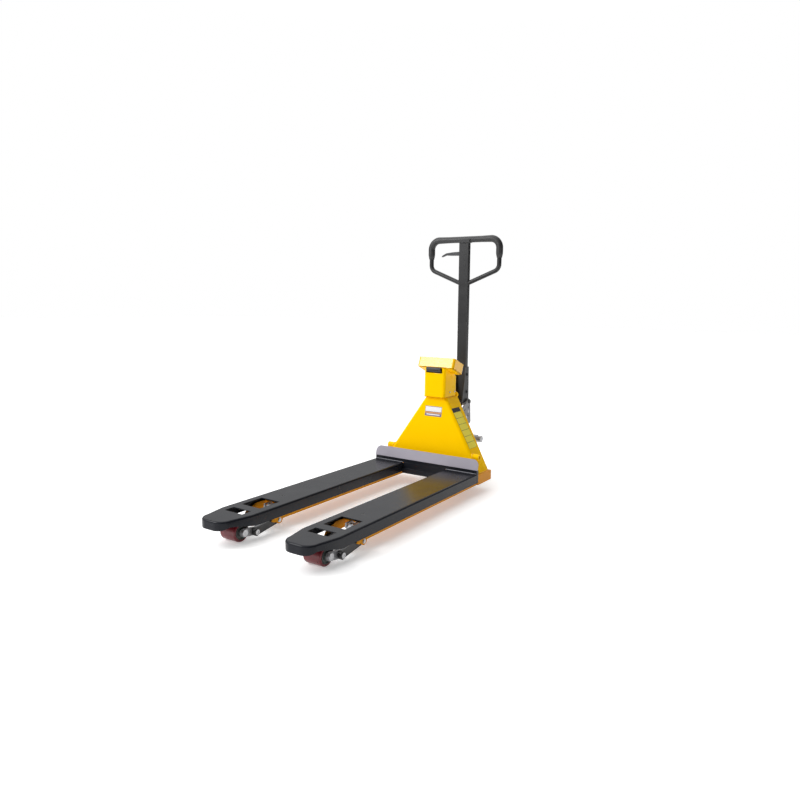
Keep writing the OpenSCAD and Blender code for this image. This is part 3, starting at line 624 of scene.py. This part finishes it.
def make_studio():
    bm = bmesh.new()
    bmesh.ops.create_grid(bm, x_segments=1, y_segments=1, size=30)
    floor = bpy.data.objects.new("floor", bpy.data.meshes.new("floor"))
    bm.to_mesh(floor.data)
    bm.free()
    bpy.context.scene.collection.objects.link(floor)
    paper = finish_of("floor", (0.90, 0.90, 0.90), 0.7, vary=0.01, grain=30, bump=0.02, specular=0.1)
    surface = paper.node_tree.nodes["Principled BSDF"]
    surface.inputs["Emission Color"].default_value = (1, 1, 1, 1)
    surface.inputs["Emission Strength"].default_value = 0.34
    floor.data.materials.append(paper)
    world = bpy.data.worlds.new("studio")
    world.use_nodes = True
    # a soft sky, dimmer towards the horizon and +X, seen as plain white behind the truck
    tree = world.node_tree
    coords = tree.nodes.new("ShaderNodeTexCoord")
    split = tree.nodes.new("ShaderNodeSeparateXYZ")
    tree.links.new(coords.outputs["Generated"], split.inputs[0])
    parts = []
    for axis, values in ((0, (-0.1, 0.6, 1.0, 0.08)), (2, (0.1, 0.5, 0.14, 1.4))):
        fade = tree.nodes.new("ShaderNodeMapRange")
        tree.links.new(split.outputs[axis], fade.inputs[0])
        for index, value in enumerate(values):
            fade.inputs[index + 1].default_value = value
        parts.append(fade.outputs[0])
    sky = tree.nodes.new("ShaderNodeMath")
    sky.operation = "MULTIPLY"
    seen = tree.nodes.new("ShaderNodeMath")
    seen.operation = "MAXIMUM"
    tree.links.new(parts[0], sky.inputs[0])
    tree.links.new(parts[1], sky.inputs[1])
    tree.links.new(sky.outputs[0], seen.inputs[0])
    tree.links.new(tree.nodes.new("ShaderNodeLightPath").outputs["Is Camera Ray"], seen.inputs[1])
    tree.links.new(seen.outputs[0], tree.nodes["Background"].inputs[1])
    tree.nodes["Background"].inputs[0].default_value = (1, 1, 1, 1)
    bpy.context.scene.world = world
    bpy.context.scene.view_settings.view_transform = "Standard"
    area_light("key", (-2.1, -2.75, 2.5), (0, 0, 0.4), (1.7, 1.7), 80)
    area_light("top", (-0.4, 0.2, 3.6), (0, 0, 0.3), (3.0, 3.0), 25)


MATERIALS = make_materials()
make_camera()
make_studio()
# rounding of each carried-over node's sharp edges, in millimetres
WIDTHS = {
    "tower_shell": 1.0, "tower_base": 1.2, "rail_left": 0.8, "rail_right": 0.8, "ram_seat": 3.0,
    "fork_left": 0.7, "fork_right": 0.7, "heel_crossbeam": 0.9, "backrest_plate": 1.2,
    "neck_post": 0.8, "battery_pack": 1.5, "indicator_case": 1.2, "indicator_base": 1.0,
    "bearing_seat": 1.5, "rocker": 1.2, "push_rods": 1.0, "roller_arms": 1.2, "roller_carriers": 1.6,
    "pump_housing": 2.0, "drawbar_seat": 1.6, "handle_bracket": 1.0, "handle_shaft": 1.6,
    "release_lever": 1.0, "release_valve": 1.0, "filler_plug": 0.8, "battery_latch": 1.2,
}
LOOKS = {
    "indicator_case": "case_paint", "rail_left": "rail_paint", "rail_right": "rail_paint",
    "tower_base": "rail_paint", "release_valve": "hub",
}
make_decals()
make_welds()
make_neck_foot_shade()
make_spring()
make_wheels()
make_grip()
make_head()
made = {"piston_spring", "handle_grip"}
for shape in ("load_tread_", "load_core_", "steer_tyre_"):
    made |= {shape + "left", shape + "right"}
for cad_node in NODES:
    if cad_node in made:
        continue
    if cad_node.startswith("fork_"):
        outer_edge = (top_outline(cad_node), FORK_EDGE * MM, 5)
        refine(cad_node, slot_of(cad_node), WIDTHS[cad_node] * MM, [outer_edge])
    elif cad_node in WIDTHS:
        refine(cad_node, LOOKS.get(cad_node, slot_of(cad_node)), WIDTHS[cad_node] * MM)
    else:
        repaint(cad_node, slot_of(cad_node))
